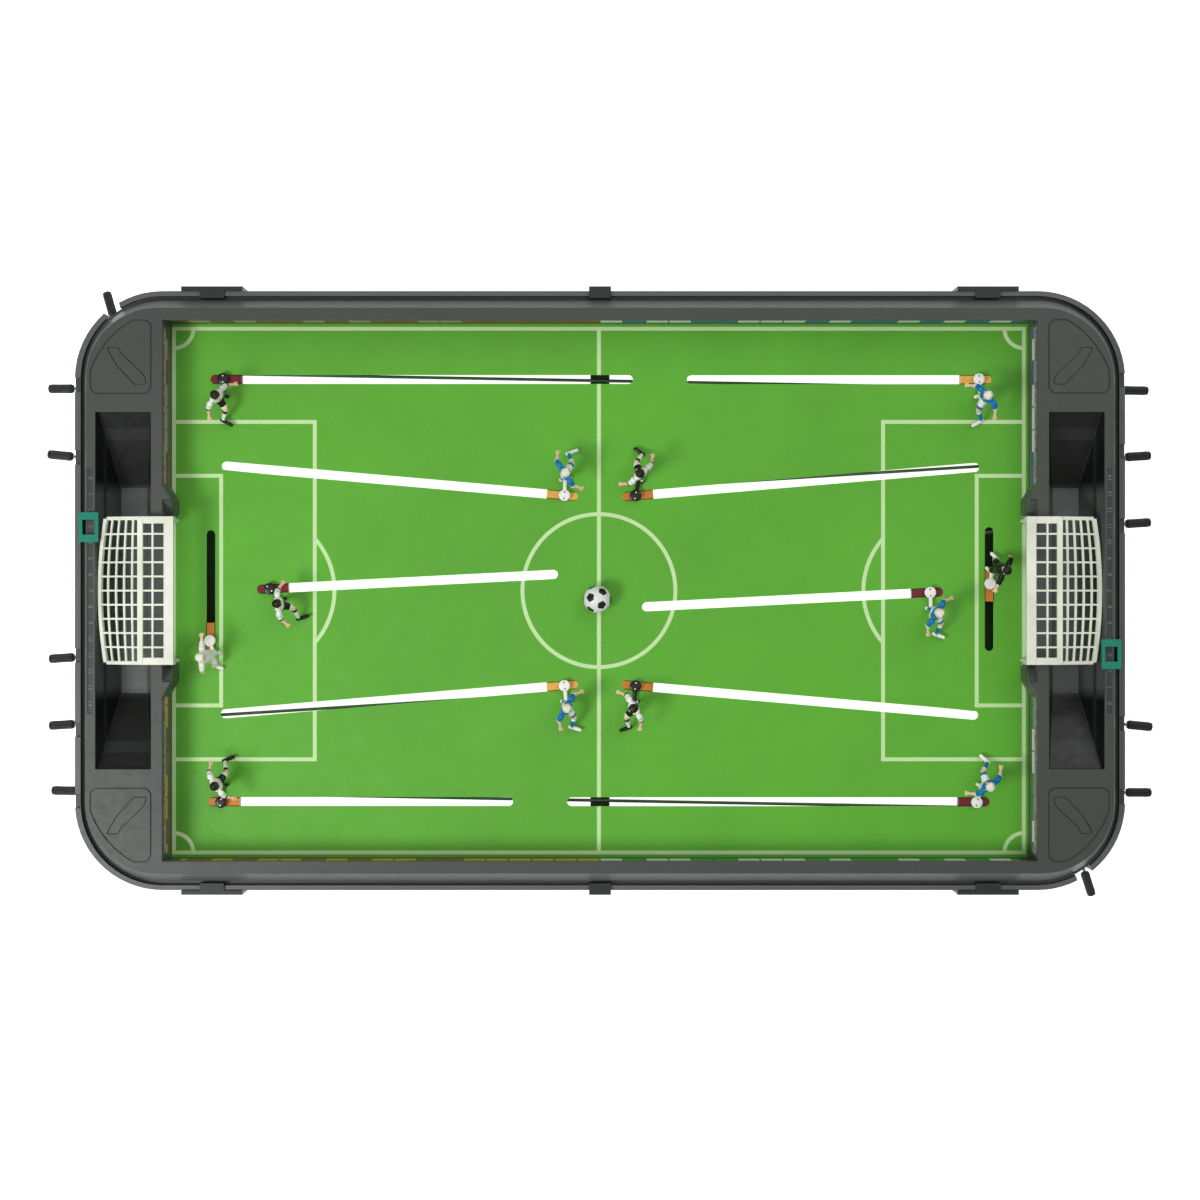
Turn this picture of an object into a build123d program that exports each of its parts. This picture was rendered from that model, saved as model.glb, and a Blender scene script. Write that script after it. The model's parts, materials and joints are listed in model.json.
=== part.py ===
"""Tabletop football game: a moulded frame round a slotted pitch, two goals, and twelve toy players.

Each player stands on a spindle in a carriage that slides along a slot in the pitch.  A steel rod
under the pitch pushes, pulls and turns it.  The whole game is unchanged by half a turn about +Z,
apart from the way each toy player faces and where the keepers stand.  Millimetres, +Z up,
origin at the middle of the footprint on the table top.
"""

import os
from math import asin, atan, atan2, cos, degrees, hypot, radians, sin
from typing import NamedTuple

from build123d import *

# Frame, outside
FRAME_HALF = (479.5, 273.5)
FRAME_CORNER = 80.0
FRAME_BOTTOM = 6.0
RIM_TOP = 96.0
GROOVE_FLOOR = 90.0
DECK_TOP = 110.0
WALL = 3.0
RIM_INSET = (5.4, 4.5)
SLOPE_FOOT_INSET = (9.6, 9.0)
SLOPE_TOP_INSET = (13.5, 17.2)
SLOPE_FOOT_Z = 98.0
FLANGE_WIDTH = 12.0

# Pitch well
PITCH_TOP = 68.0
BOARD_THICKNESS = 3.0
WELL_HALF = (397.0, 247.5)
LIP_HALF = (397.0, 245.5)
LIP_THICKNESS = 6.0
LEDGE_HALF = (388.0, 240.0)
LEDGE_THICKNESS = 6.0
BOARD_GAP = 0.3
SLOT_WIDTH = 8.5

# Ball troughs behind the goals
TROUGH_X = (-458.0, -406.8)
TROUGH_FLOOR_X = (-444.0, -420.0)
TROUGH_FLOOR_Z = 64.0
TROUGH_SHALLOW_X = (-456.0, -409.0)
TROUGH_SHALLOW_Z = 104.0
TROUGH_FLAT_HALF = 95.0
TROUGH_HALF = 162.0

# Goals
GOAL_HALF = 67.0
GOAL_SIDE = 6.4
GOAL_FRONT_X = (-393.6, -385.0)
GOAL_TOP = 120.0
GOAL_RIDGE_X = -415.0
GOAL_BACK_X = -454.0
GOAL_BACK_Z = 105.2
GOAL_BULGE = 6.0
GOAL_WIRE = 1.7
GOAL_WIRE_PITCH = 12.8
GOAL_CROSS_WIRES = 9
GOAL_SLOPE_ROWS = 5
POST_X = -391.0
POST_Y = 64.5
POST_R = 2.1
POST_HOLE_R = 2.5

# Score sliders
SLIDER_X = (-472.0, -454.2)
SLIDER_LENGTH = 27.0
SLIDER_REST_Y = 57.5
RAIL_HALF = 111.5

# Corner panels engraved in the deck, as the one at -X, +Y: right, top, left and bottom edges
PANEL = (-406.3, 246.3, -462.6, 178.3)
ENGRAVED = (1.5, 1.2)
FINGER_GROOVE = (
    (-447.8, 221.0),
    (-436.2, 220.7),
    (-433.5, 214.9),
    (-420.9, 203.6),
    (-413.2, 195.6),
    (-410.7, 189.5),
    (-411.9, 186.9),
    (-421.6, 186.4),
    (-427.0, 191.8),
    (-437.8, 203.3),
    (-443.9, 213.3),
)

# Running gear
ROD_R = 1.5
SPINDLE_R = 1.5
RUNNING_GAP = 0.06
GEAR_R = 3.9
GEAR_HALF = 3.8
GEAR_GROOVES = 10
ROD_OFFSET = 8.0
ROD_HIGH = 50.0
ROD_LOW = 38.0
CARRIAGE_FRONT = 12.5
CARRIAGE_BACK = 16.5
TONGUE_HALF = 3.5
TONGUE_TOP = 68.3
SHOE_HALF = 8.0
SHOE_Z = (60.0, 64.6)
HUB_R = 3.2
HUB_TOP = 63.0
YOKE_TOP = 59.6
KNOB_R = 4.3
KNOB_LENGTH = 24.0
HANDLE_X = 475.0
KNOB_START_X = 491.5
WINDOW_WIDTH = 25.0
WINDOW_HOLE = (22.0, 12.0)
KEEPER_WINDOW = (18.0, 30.0)
KEEPER_NOTCH_Y = (-18.5, -3.0)
RIM_NOTCH = (13.0, 3.0)

# Ball
BALL_R = 12.7
BALL_AT = (-2.5, -7.9)
REST_GAP = 0.2


class Outfield(NamedTuple):
    """One outfield player of the team whose handles are at +X, before any half turn."""

    role: str
    slot_front: tuple
    slot_back: tuple
    handle_y: float
    rod_z: float


OUTFIELD = (
    Outfield("wing_long", (-360.7, 195.6), (30.5, 195.6), 188.5, ROD_LOW),
    Outfield("wing_short", (-362.6, -195.4), (-80.5, -195.4), -188.5, ROD_HIGH),
    Outfield("centre", (-317.6, 1.1), (-39.0, 15.2), 61.2, ROD_HIGH),
    Outfield("defender_far", (20.4, 86.8), (351.5, 114.5), 123.7, ROD_HIGH),
    Outfield("defender_near", (20.4, -87.0), (350.5, -115.8), -123.4, ROD_HIGH),
)

# The way from a player's spindle to its body, in degrees, and whether it kicks to its right
WHITE_FACING = {
    "wing_long": (-89.0, False),
    "wing_short": (84.0, True),
    "centre": (-45.0, False),
    "defender_far": (81.0, False),
    "defender_near": (-99.0, True),
}
BLUE_FACING = {
    "wing_long": (76.0, False),
    "wing_short": (-88.0, True),
    "centre": (-83.0, False),
    "defender_far": (-80.0, False),
    "defender_near": (84.0, True),
}


class Keeper(NamedTuple):
    """A keeper, placed as the one at the -X goal, before any half turn."""

    name: str
    half_turn: bool
    pulled: float
    knob_end: tuple
    facing: float


KEEPER_X = -360.5
KEEPER_SLOT_Y = (-58.8, 56.0)
KEEPERS = (
    Keeper("blue_keeper", False, 0.0, (-464.0, 281.0), -91.0),
    Keeper("white_keeper", True, 39.9, (-462.5, 287.0), -118.0),
)

# Toy players, each pressed on its spindle by a ring
RING_R = 5.3
RING_Z = (70.3, 74.3)

# Points along each limb with the limb's radius there: distance from the spindle, sideways, height
OUTFIELD_LIMBS = (
    ((3.0, 0.0, 72.3, 2.0), (13.5, -1.0, 71.4, 2.0)),
    ((13.6, -5.0, 71.0, 2.1), (16.5, 4.0, 70.9, 2.2)),
    ((14.5, -3.5, 72.0, 2.1), (17.5, 0.5, 82.0, 2.3), (21.0, -3.0, 92.0, 3.2)),
    ((22.5, -2.5, 93.5, 3.6), (32.5, 3.2, 87.0, 2.8), (37.3, 0.8, 76.0, 1.9)),
    ((38.3, -1.6, 73.4, 1.9), (42.8, 7.2, 72.2, 2.1)),
    ((22.5, -2.5, 91.5, 4.3), (22.0, -2.8, 104.0, 5.0)),
    ((22.0, -2.8, 104.5, 3.2), (14.8, 3.2, 104.5, 2.9), (12.2, 5.8, 99.5, 2.5), (10.8, 12.8, 95.5, 1.7)),
    ((22.0, -2.8, 104.0, 3.2), (29.2, -8.8, 104.0, 2.9), (32.3, -11.3, 98.0, 2.5), (40.0, -11.2, 93.5, 1.7)),
    ((22.2, -2.2, 107.0, 2.2), (22.3, -1.6, 114.4, 4.8)),
)
KEEPER_LIMBS = (
    ((3.0, 0.0, 72.3, 2.0), (11.0, 4.5, 71.4, 2.0)),
    ((9.5, 1.0, 71.0, 2.1), (11.5, 10.0, 70.9, 2.2)),
    ((10.5, 3.5, 72.0, 2.1), (10.5, 7.5, 81.0, 2.4), (12.5, 3.5, 91.0, 3.2)),
    ((15.5, 3.5, 91.0, 3.2), (20.5, 8.5, 82.5, 2.6), (23.5, 5.5, 74.0, 1.9)),
    ((23.0, 3.5, 71.6, 1.9), (25.5, 12.0, 71.3, 2.1)),
    ((14.0, 2.5, 91.5, 4.3), (14.0, -1.0, 104.0, 5.0)),
    ((14.0, -1.0, 104.5, 3.2), (7.0, -1.4, 104.5, 2.8), (1.0, -2.0, 101.0, 2.2), (-5.0, -2.2, 102.0, 1.9)),
    ((14.0, -1.0, 104.0, 3.2), (21.0, -1.4, 104.0, 2.8), (26.0, -1.8, 99.0, 2.2), (28.6, -1.8, 93.0, 1.9)),
    ((14.1, -0.8, 107.0, 2.2), (14.2, -0.6, 114.4, 4.8)),
)


def block(x, y, z):
    """A box between two values on each axis."""
    size = (x[1] - x[0], y[1] - y[0], z[1] - z[0])
    return Pos(sum(x) / 2, sum(y) / 2, sum(z) / 2) * Box(*size)


def about(middle, width):
    """Two values, width apart, either side of middle."""
    return (middle - width / 2, middle + width / 2)


def slab(inset, z):
    """The frame's outline, moved in by inset, from one height to another."""
    return extrude(outline(inset, z[0]), amount=z[1] - z[0])


def outline(inset, z):
    """The frame's outline at one height, moved in by inset."""
    half_x = FRAME_HALF[0] - inset[0]
    half_y = FRAME_HALF[1] - inset[1]
    corner = FRAME_CORNER - sum(inset) / 2
    return Pos(0, 0, z) * RectangleRounded(2 * half_x, 2 * half_y, corner)


def tapered(inset_low, inset_high, z):
    """The frame's outline, with another inset at the top than at the bottom."""
    return loft([outline(inset_low, z[0]), outline(inset_high, z[1])], ruled=True)


def grow(inset, by):
    return (inset[0] + by, inset[1] + by)


def both_ends(shape):
    """A feature of the -X end, and the same after half a turn."""
    return [shape, Rot(0, 0, 180) * shape]


def rod_line(pin, target):
    """Direction, in degrees, of a rod that runs ROD_OFFSET to the left of pin and through target."""
    along = atan2(target[1] - pin[1], target[0] - pin[0])
    reach = hypot(target[0] - pin[0], target[1] - pin[1])
    return degrees(along - asin(ROD_OFFSET / reach))


def slot_angle(front, back):
    return degrees(atan2(back[1] - front[1], back[0] - front[0]))


def pin_of(front, back):
    """The spindle's place with the carriage pushed against the slot's front end."""
    turn = radians(slot_angle(front, back))
    return (front[0] + CARRIAGE_FRONT * cos(turn), front[1] + CARRIAGE_FRONT * sin(turn))


def on_rod(pin, direction, rod_z):
    """A frame on the rod beside the spindle, its Z along the rod towards the handle."""
    side = radians(direction + 90)
    start = (pin[0] + ROD_OFFSET * cos(side), pin[1] + ROD_OFFSET * sin(side), rod_z)
    along = (cos(radians(direction)), sin(radians(direction)), 0)
    return Plane(origin=start, x_dir=(0, 0, 1), z_dir=along)


# ---- Frame ---------------------------------------------------------------------------------

def trough(outset):
    """The hopper behind the -X goal: flat behind the goal, and rising to both far ends."""

    def section(y, floor_x, floor_z):
        top = DECK_TOP + 1.0
        points = [
            (TROUGH_X[0] - outset, y, top),
            (TROUGH_X[1] + outset, y, top),
            (floor_x[1] + outset, y, floor_z - outset),
            (floor_x[0] - outset, y, floor_z - outset),
        ]
        return Wire.make_polygon([Vector(*p) for p in points])

    deep_y = TROUGH_FLAT_HALF
    far_y = TROUGH_HALF + outset
    places = [
        (-far_y, TROUGH_SHALLOW_X, TROUGH_SHALLOW_Z),
        (-deep_y, TROUGH_FLOOR_X, TROUGH_FLOOR_Z),
        (deep_y, TROUGH_FLOOR_X, TROUGH_FLOOR_Z),
        (far_y, TROUGH_SHALLOW_X, TROUGH_SHALLOW_Z),
    ]
    wires = [section(*place) for place in places]
    parts = [Solid.make_loft([a, b], True) for a, b in zip(wires, wires[1:])]
    return parts[0] + parts[1] + parts[2]


def post_block():
    """The thick end of the wall beside a goal, +Y side of the -X goal, sloping down to the goal."""
    near = GOAL_HALF + 0.4
    face = TROUGH_X[1] + 17.3
    plan = Polyline(
        (TROUGH_X[1], near),
        (face - 3, near),
        (face, near + 3),
        (face, 83),
        (-WELL_HALF[0], 96),
        (TROUGH_X[1], 96),
        close=True,
    )
    body = extrude(Pos(0, 0, PITCH_TOP) * make_face(plan), amount=DECK_TOP - PITCH_TOP)
    over = DECK_TOP + 1
    edge = Polyline((0, 83, DECK_TOP), (0, 60, 82), (0, 60, over), (0, 83, over), close=True)
    wedge = Pos(TROUGH_X[1] - 6, 0, 0) * extrude(make_face(edge), amount=30, dir=(1, 0, 0))
    return body - wedge


def panel_outline():
    """The rounded three-cornered panel on the deck at the -X, +Y corner."""
    right, top, left, bottom = PANEL
    foot = (left, bottom + 21)
    shoulder = (right - 17, top)
    edges = [
        ThreePointArc(foot, (left + 16.5, top - 18.5), shoulder),
        Line(shoulder, (right, top)),
        Line((right, top), (right, bottom)),
        Line((right, bottom), (left, bottom)),
        Line((left, bottom), foot),
    ]
    face = make_face(edges)
    return fillet(face.vertices(), radius=7.5)


def deck_engraving():
    """Grooves in the deck at the -X end: two corner panels with a finger groove, and the score rail."""
    ring = panel_outline() - offset(panel_outline(), amount=-ENGRAVED[0])
    finger = make_face(Polyline(*FINGER_GROOVE, close=True))
    finger = fillet(finger.vertices(), radius=1.4)
    finger_ring = finger - offset(finger, amount=-0.9)
    upper = extrude(Pos(0, 0, DECK_TOP - ENGRAVED[1]) * (ring + finger_ring), amount=ENGRAVED[1] + 1)
    lower = mirror(upper, about=Plane.XZ)
    rail = block((-464.6, -460.0), (-RAIL_HALF, RAIL_HALF), (DECK_TOP - 1, DECK_TOP + 1))
    return [upper, lower, rail]


def side_windows():
    """Place of each outfield rod's window in the frame's end walls, and the rod's height."""
    places = []
    for player in OUTFIELD:
        pin = pin_of(player.slot_front, player.slot_back)
        along_slot = slot_angle(player.slot_front, player.slot_back)
        drift = along_slot - rod_line(pin, (HANDLE_X, player.handle_y))
        travel = hypot(*[b - a for a, b in zip(player.slot_front, player.slot_back)])
        middle = player.handle_y + travel * sin(radians(drift)) / 2
        for turn in (0, 180):
            places.append((Rot(0, 0, turn) * Pos(FRAME_HALF[0], middle, 0), player.rod_z))
    return places


def corner_windows():
    """Place of each keeper rod's window in the frame's rounded corners, its X along the rod."""
    places = []
    for keeper in KEEPERS:
        direction = rod_line(keeper_pin(keeper), keeper.knob_end)
        place = Pos(*corner_exit(keeper.knob_end, direction), 0) * Rot(0, 0, direction)
        places.append(Rot(0, 0, 180 * keeper.half_turn) * place)
    return places


def corner_exit(start, direction):
    """Where a line back from the knob end meets the frame's rounded corner."""
    step = (-cos(radians(direction)), -sin(radians(direction)))
    centre = (FRAME_CORNER - FRAME_HALF[0], FRAME_HALF[1] - FRAME_CORNER)
    away = (start[0] - centre[0], start[1] - centre[1])
    b = away[0] * step[0] + away[1] * step[1]
    c = away[0] ** 2 + away[1] ** 2 - FRAME_CORNER**2
    run = -b - (b * b - c) ** 0.5
    return (start[0] + run * step[0], start[1] + run * step[1])


def frame_shell():
    skirt = slab((0, 0), (FRAME_BOTTOM, RIM_TOP)) - slab(RIM_INSET, (GROOVE_FLOOR, RIM_TOP))
    deck = slab(SLOPE_FOOT_INSET, (GROOVE_FLOOR, SLOPE_FOOT_Z))
    deck += tapered(SLOPE_FOOT_INSET, SLOPE_TOP_INSET, (SLOPE_FOOT_Z, DECK_TOP))
    inner_foot = grow(SLOPE_FOOT_INSET, WALL)
    inner_top = grow(SLOPE_TOP_INSET, WALL)
    hollow = slab((WALL, WALL), (FRAME_BOTTOM, GROOVE_FLOOR - WALL))
    hollow += slab(inner_foot, (GROOVE_FLOOR - WALL, SLOPE_FOOT_Z - 1))
    hollow += tapered(inner_foot, inner_top, (SLOPE_FOOT_Z - 1, DECK_TOP - WALL))
    shell = skirt + deck - hollow
    flange_z = (FRAME_BOTTOM, FRAME_BOTTOM + WALL)
    shell += slab((0, 0), flange_z) - slab((FLANGE_WIDTH, FLANGE_WIDTH), flange_z)

    # Rod windows: a thick place in the wall with a hole; over a keeper's, a notch in the rim as well
    thick_z = (FRAME_BOTTOM, GROOVE_FLOOR - WALL + 1)
    thick = slab((1, 1), thick_z) - slab((7.4, 7.7), thick_z)
    thick_y = (-WINDOW_WIDTH / 2 - WALL, WINDOW_WIDTH / 2 + WALL)
    through = (-25, 25)
    for place in [*(place for place, _ in side_windows()), *corner_windows()]:
        shell += thick & (place * block(through, thick_y, (0, 120)))
    notch_z = (RIM_TOP - RIM_NOTCH[1], RIM_TOP + 1)
    for place, rod_z in side_windows():
        shell -= place * block(through, about(0, WINDOW_HOLE[0]), about(rod_z, WINDOW_HOLE[1]))
        shell -= place * block((-5, 5), about(0, RIM_NOTCH[0]), notch_z)
    outside_z = (0, RIM_TOP + 1)
    outside = slab((-2, -2), outside_z) - slab(RIM_INSET, outside_z)
    window_z = about(ROD_LOW, KEEPER_WINDOW[1])
    for place in corner_windows():
        shell -= place * block((-6, 25), about(0, KEEPER_WINDOW[0]), window_z)
        shell -= place * block(through, about(0, WINDOW_HOLE[0]), about(ROD_LOW, WINDOW_HOLE[1]))
        shell -= outside & (place * block(through, KEEPER_NOTCH_Y, (window_z[1] + 4, RIM_TOP + 1)))

    # Pitch well, with its walls, top lip and bottom ledge
    board_z = PITCH_TOP - BOARD_THICKNESS
    ledge_z = board_z - LEDGE_THICKNESS
    lip_z = DECK_TOP - LIP_THICKNESS

    def well(half, margin, z):
        reach = grow(half, margin)
        return block((-reach[0], reach[0]), (-reach[1], reach[1]), z)

    shell += well(WELL_HALF, WALL, (ledge_z, DECK_TOP - 1))
    for trough_block in both_ends(trough(WALL)):
        shell += trough_block & well(FRAME_HALF, 0, (0, DECK_TOP - 1))
    sill_x = (TROUGH_FLOOR_X[1] - 1, -WELL_HALF[0])
    sill = block(sill_x, about(0, 2 * GOAL_HALF + 8), (61, DECK_TOP - 1))
    for piece in both_ends(sill):
        shell += piece
    shell -= well(LIP_HALF, 0, (lip_z, DECK_TOP + 1))
    shell -= well(WELL_HALF, 0, (board_z, lip_z))
    shell -= well(LEDGE_HALF, 0, (ledge_z - 1, board_z))

    for post in (post_block(), mirror(post_block(), about=Plane.XZ)):
        for piece in both_ends(post):
            shell += piece
    mouth_half = GOAL_HALF + 0.4
    mouth = block((TROUGH_FLOOR_X[1] - 1, -380), (-mouth_half, mouth_half), (PITCH_TOP, DECK_TOP + 1))
    for piece in [*both_ends(trough(0)), *both_ends(mouth)]:
        shell -= piece
    for groove in deck_engraving():
        for piece in both_ends(groove):
            shell -= piece

    # Brace across the middle, and the floor panel under each keeper with its hole
    shell += block((-9, 9), (2 - FRAME_HALF[1], FRAME_HALF[1] - 2), (10, 26))
    floor_panel = block((-FRAME_HALF[0] + 2, -346), (-66, 66), (20, 23))
    floor_panel -= Pos(KEEPER_X, 0, 21) * Cylinder(4, 10)
    for piece in both_ends(floor_panel):
        shell += piece
    return shell


# ---- Pitch, goals and loose pieces -----------------------------------------------------------

def pitch_board():
    half = [h - BOARD_GAP for h in WELL_HALF]
    z = (PITCH_TOP - BOARD_THICKNESS, PITCH_TOP)
    board = block((-half[0], half[0]), (-half[1], half[1]), z)
    slots = [(p.slot_front, p.slot_back) for p in OUTFIELD]
    slots.append(((KEEPER_X, KEEPER_SLOT_Y[0]), (KEEPER_X, KEEPER_SLOT_Y[1])))
    for front, back in slots:
        middle = ((front[0] + back[0]) / 2, (front[1] + back[1]) / 2)
        length = hypot(back[0] - front[0], back[1] - front[1])
        slot = Pos(*middle, z[0] - 1) * Rot(0, 0, slot_angle(front, back)) * SlotOverall(length, SLOT_WIDTH)
        for piece in both_ends(extrude(slot, amount=BOARD_THICKNESS + 2)):
            board -= piece
    for y in (-POST_Y, POST_Y):
        for piece in both_ends(Pos(POST_X, y, sum(z) / 2) * Cylinder(POST_HOLE_R, BOARD_THICKNESS + 2)):
            board -= piece
    return board


def goal_side(side):
    """One end of the goal at -X: an end plate, a rail along its inside edge, and the post."""
    ys = sorted((side * GOAL_HALF, side * (GOAL_HALF - GOAL_SIDE / 2)))
    top = GOAL_TOP - 0.4
    edge = Polyline(
        (GOAL_FRONT_X[1], top),
        (GOAL_RIDGE_X, top),
        (GOAL_BACK_X + GOAL_BULGE, GOAL_BACK_Z + 2.2),
        (GOAL_BACK_X + GOAL_BULGE, GOAL_BACK_Z - 2.0),
        (GOAL_RIDGE_X, GOAL_TOP - 12),
        (GOAL_FRONT_X[1], GOAL_TOP - 12),
        close=True,
    )
    plate = extrude(Plane.XZ.offset(-ys[1]) * make_face(edge), amount=ys[1] - ys[0])
    rail_y = sorted((side * (GOAL_HALF - 1), side * (GOAL_HALF - GOAL_SIDE)))
    rail = block((GOAL_RIDGE_X, GOAL_FRONT_X[1]), rail_y, (GOAL_TOP - 3, top))
    post_z = (PITCH_TOP - BOARD_THICKNESS, GOAL_TOP - 2)
    post = Pos(POST_X, side * POST_Y, sum(post_z) / 2) * Cylinder(POST_R, post_z[1] - post_z[0])
    return plate + rail + post


def band(x, bulge, reach, half_width):
    """A flat bar along Y whose middle stands out by bulge."""
    edges = []
    for side in (-half_width, half_width):
        start = (x + side - bulge, -reach)
        edges.append(ThreePointArc(start, (x + side, 0), (start[0], reach)))
    ends = [Line(edges[0] @ end, edges[1] @ end) for end in (0, 1)]
    return make_face([*edges, *ends])


def goal():
    """The goal at -X: posts, crossbar, end plates, ridge and curved back bar, and a moulded net."""
    net_z = GOAL_TOP - 1.4
    reach = GOAL_HALF - 1.8
    body = block(GOAL_FRONT_X, (-GOAL_HALF, GOAL_HALF), (GOAL_TOP - 5, GOAL_TOP))
    ridge_x = (GOAL_RIDGE_X - 2.4, GOAL_RIDGE_X + 2.4)
    body += block(ridge_x, (1 - GOAL_HALF, GOAL_HALF - 1), (GOAL_TOP - 3.6, GOAL_TOP))
    for side in (-1, 1):
        body += goal_side(side)

    # The net's flat roof behind the crossbar, and its slope from the ridge to the back bar
    middle_wire = (GOAL_CROSS_WIRES - 1) / 2
    wires = [(wire - middle_wire) * GOAL_WIRE_PITCH for wire in range(GOAL_CROSS_WIRES)]
    fall = net_z - GOAL_BACK_Z
    run = GOAL_RIDGE_X - GOAL_BACK_X
    length = hypot(run, fall)
    slope_plane = Plane(origin=(GOAL_RIDGE_X, 0, net_z), x_dir=(-run, 0, -fall), z_dir=(fall, 0, -run))
    roof_x = (GOAL_RIDGE_X, GOAL_FRONT_X[0] + 1)
    roof = Pos(sum(roof_x) / 2, 0) * Rectangle(GOAL_WIRE, 2 * reach)
    slope = band(length, GOAL_BULGE, reach, GOAL_WIRE / 2)
    for row in range(1, GOAL_SLOPE_ROWS):
        share = row / GOAL_SLOPE_ROWS
        slope += band(share * length, share * GOAL_BULGE, reach, GOAL_WIRE / 2)
    for y in wires:
        roof += Pos(sum(roof_x) / 2, y) * Rectangle(roof_x[1] - roof_x[0], GOAL_WIRE)
        wire_length = length - GOAL_BULGE * (y / GOAL_HALF) ** 2
        slope += Pos(wire_length / 2, y) * Rectangle(wire_length, GOAL_WIRE)
    body += extrude(Pos(0, 0, net_z) * roof, amount=GOAL_WIRE / 2, both=True)
    body += extrude(slope_plane * slope, amount=GOAL_WIRE / 2, both=True)
    back_bar = band(length, GOAL_BULGE, reach, 1.7)
    return body + extrude(slope_plane * back_bar, amount=1.7, both=True)


def wall_strips():
    """Printed card strips on the well's walls: two at each end and one along each side."""
    thickness = 0.6
    end_z = (87.0, 103.5)
    side_z = (78.0, 102.0)
    end_x = (-WELL_HALF[0] + 0.05, -WELL_HALF[0] + 0.05 + thickness)
    side_y = (WELL_HALF[1] - 0.05 - thickness, WELL_HALF[1] - 0.05)
    strips = [
        block(end_x, (97, 240), end_z),
        block(end_x, (-240, -97), end_z),
        block((-385, 385), side_y, side_z),
    ]
    return group([piece for strip in strips for piece in both_ends(strip)])


def side_clips():
    """Clips hooked over the rim: two wide ones and a small middle one on each long side."""
    rim_y = FRAME_HALF[1]
    hook_z = (RIM_TOP, RIM_TOP + 2.4)
    groove_y = (rim_y - 6.6, rim_y - RIM_INSET[1])

    def clip(x, hook_width, plate_width, plate_bottom):
        hook = block((x - hook_width / 2, x + hook_width / 2), (groove_y[0], rim_y + 4), hook_z)
        lip = block((x - hook_width / 2, x + hook_width / 2), groove_y, (GROOVE_FLOOR + 0.5, hook_z[1]))
        plate_x = (x - plate_width / 2, x + plate_width / 2)
        plate = block(plate_x, (rim_y, rim_y + 4), (plate_bottom, hook_z[1]))
        return hook + lip + plate

    clips = [clip(354, 22, 56, 62), clip(-354, 22, 56, 62), clip(0, 20, 20, 84)]
    return group([piece for one in clips for piece in both_ends(one)])


def foot_pads():
    """Rubber pads under the bottom flange."""
    pads = []
    pad_y = (1.5 - FRAME_HALF[1], 11 - FRAME_HALF[1])
    for x, length in ((-354, 60), (0, 40), (354, 60)):
        pad = block((x - length / 2, x + length / 2), pad_y, (0, FRAME_BOTTOM))
        pads += both_ends(fillet(pad.edges().filter_by(Axis.Z), radius=3))
    return group(pads)


def score_slider():
    """A clip that slides along the -X edge of the deck, with a window over the score."""
    plate_z = (DECK_TOP + 0.4, DECK_TOP + 3.4)
    ys = (SLIDER_REST_Y - SLIDER_LENGTH / 2, SLIDER_REST_Y + SLIDER_LENGTH / 2)
    plate = block(SLIDER_X, ys, plate_z)
    plate = fillet(plate.edges().filter_by(Axis.Z), radius=1.2)
    window = block((SLIDER_X[0] + 3.4, SLIDER_X[1] - 3), (ys[0] + 6.8, ys[1] - 6.8), (100, 120))
    leg = block((SLIDER_X[0], SLIDER_X[0] + 1.8), (ys[0] + 2, ys[1] - 2), (RIM_TOP + 0.8, plate_z[0] + 1))
    foot = block((-463.9, -460.7), (ys[0] + 1, ys[0] + 5), (DECK_TOP - 0.7, plate_z[0] + 0.5))
    return plate - window + leg + foot


def ball():
    return Pos(*BALL_AT, PITCH_TOP + BALL_R + REST_GAP) * Sphere(BALL_R)


# ---- Running gear ----------------------------------------------------------------------------

def grooved(radius, half_length):
    """A gear blank: a short cylinder with shallow grooves along it."""
    profile = Circle(radius)
    for step in range(GEAR_GROOVES):
        turn = radians(360 * step / GEAR_GROOVES)
        profile -= Pos(radius * cos(turn), radius * sin(turn)) * Circle(0.45)
    return Pos(0, 0, -half_length) * extrude(profile, amount=2 * half_length)


def rod_and_gear(pin, direction, rod_z, length):
    """A steel rod with its gear pressed on beside the spindle, running out to its knob."""
    frame = on_rod(pin, direction, rod_z)
    rod = Pos(0, 0, (length - 9.5) / 2) * Cylinder(ROD_R, length + 9.5)
    gear = grooved(GEAR_R, GEAR_HALF) - Cylinder(ROD_R, 20)
    return group([frame * rod, frame * gear])


def knob(pin, direction, rod_z, length):
    """A ribbed grip over the last of the rod, closed at its outer end."""
    profile = Circle(KNOB_R)
    for step in range(14):
        turn = radians(360 * step / 14)
        profile -= Pos(KNOB_R * cos(turn), KNOB_R * sin(turn)) * Circle(0.42)
    grip = extrude(profile, amount=KNOB_LENGTH)
    grip -= Pos(0, 0, (KNOB_LENGTH - 3) / 2) * Cylinder(ROD_R, KNOB_LENGTH - 3)
    start = length - (KNOB_LENGTH - 3)
    return on_rod(pin, direction, rod_z) * (Pos(0, 0, start) * grip)


def bearing_plates(rod_z, front_top, back_top):
    """Two plates that hold the rod, and the foot plate under the spindle, beside a spindle at 0, 0."""
    plates = block((-8.5, -5.5), (-4.8, 12.5), (rod_z - 4.8, front_top))
    plates += block((5.5, 8.5), (-4.8, 12.5), (rod_z - 4.8, back_top))
    plates += block((-8.5, 8.5), (-4.8, 4.8), (rod_z - 7.5, rod_z - 4.6))
    return plates


def spindle_bore(low, high):
    return Pos(0, 0, (low + high) / 2) * Cylinder(SPINDLE_R + RUNNING_GAP, high - low)


def rod_bore(direction, rod_z):
    return on_rod((0, 0), direction, rod_z) * Cylinder(ROD_R + RUNNING_GAP, 40)


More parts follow.
